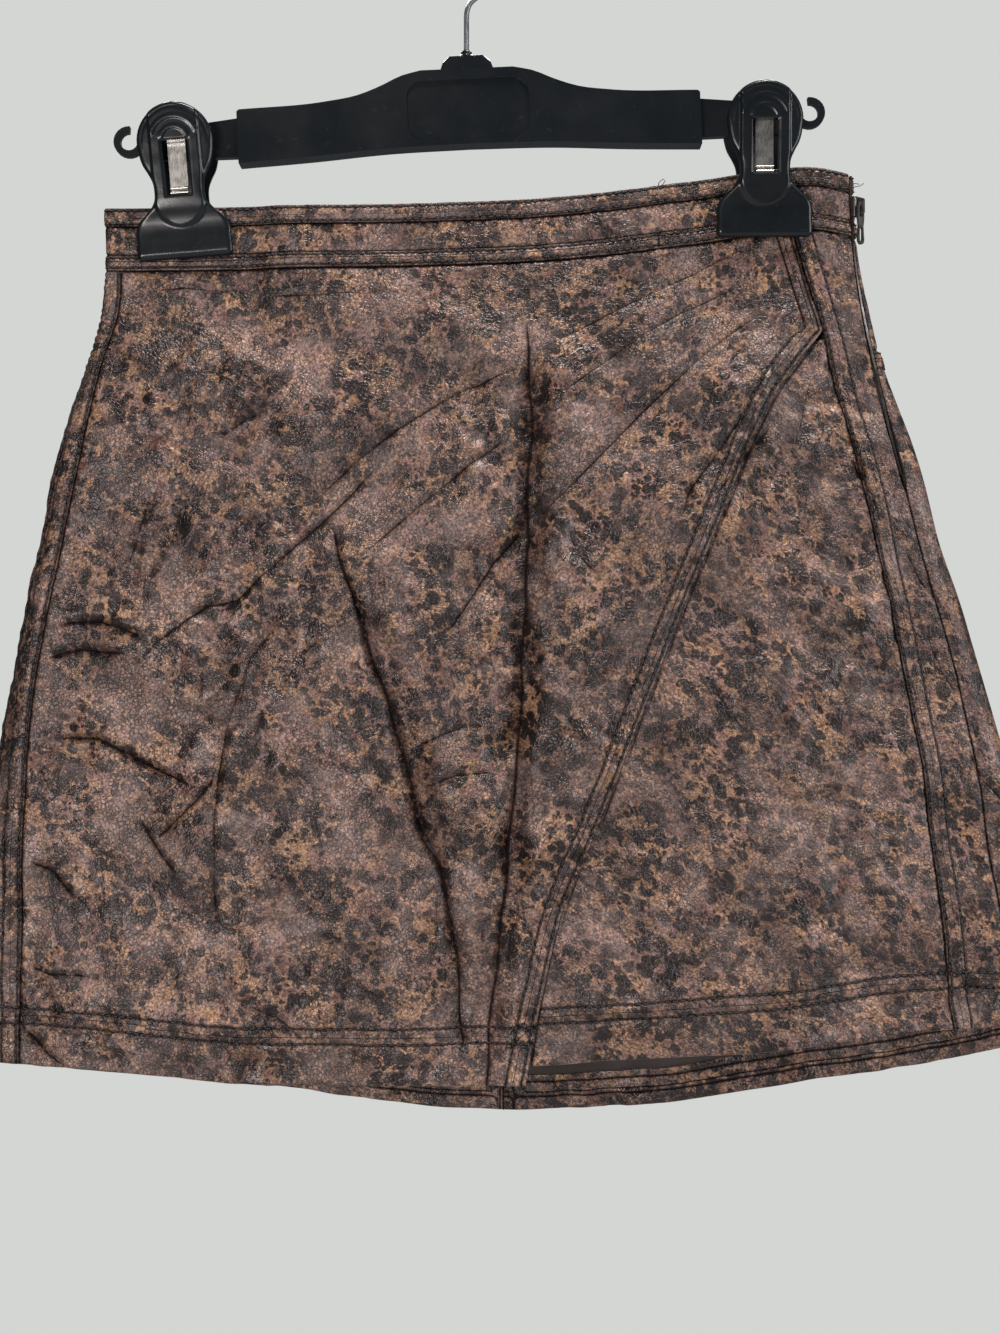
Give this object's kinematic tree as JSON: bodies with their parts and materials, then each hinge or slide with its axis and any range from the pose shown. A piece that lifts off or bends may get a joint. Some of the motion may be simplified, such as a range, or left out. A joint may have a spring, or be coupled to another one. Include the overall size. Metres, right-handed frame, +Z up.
{
  "type": "leather mini skirt on a clip hanger",
  "caption": "Short A-line mock-wrap leather skirt with a side zip, hanging by its waistband from a two-clip trouser hanger.",
  "frame": {"origin": "inside top of the hanger's hook, where a rail carries it", "axes": "+Z up, along the skirt's length; +X along the waistband to the right as seen from the front; the front faces -Y"},
  "size_m": [0.4829, 0.065, 0.5206],
  "materials": {
    "leather": "satin printed leather with a fine grain",
    "leather_backing": "matt dark backing",
    "thread": "matt thread",
    "zip_tape": "matt woven tape",
    "zip_metal": "dark lacquered metal",
    "hanger_plastic": "satin moulded plastic",
    "hanger_steel": "bright nickelled steel"
  },
  "bodies": {
    "garment": {"band_top_front": "leather", "band_top_back": "leather", "band_mid_front": "leather", "band_mid_back": "leather", "band_low_front_left": "leather", "band_low_front_right": "leather", "band_low_back": "leather", "front_left_wrap": "leather", "front_right_under": "leather", "side_left": "leather", "side_right": "leather", "back_yoke": "leather", "back_left": "leather", "back_right": "leather", "hem_front_left": "leather", "hem_front_right": "leather", "hem_side_left": "leather", "hem_side_right": "leather", "hem_back_left": "leather", "hem_back_right": "leather", "zip_tape": "zip_tape", "zip_chain": "zip_metal", "zip_slider": "zip_metal", "hanger_bar": "hanger_plastic", "hanger_arm_left": "hanger_plastic", "hanger_arm_right": "hanger_plastic", "hanger_collar": "hanger_plastic", "hook_nut": "hanger_plastic", "clip_front_left": "hanger_plastic", "clip_front_right": "hanger_plastic", "clip_back_left": "hanger_plastic", "clip_back_right": "hanger_plastic", "hanger_hook": "hanger_steel", "clip_spring_left": "hanger_steel", "clip_spring_right": "hanger_steel"},
    "zip_pull": {"zip_pull": "zip_metal"}
  },
  "joints": [
    {"name": "zip_pull_swing", "type": "hinge", "parent": "garment", "child": "zip_pull", "pos_m": [0.17048, -0.00592, -0.121], "axis": [-0.6778, -0.7353, 0], "range_deg": [-3, 165]}
  ]
}
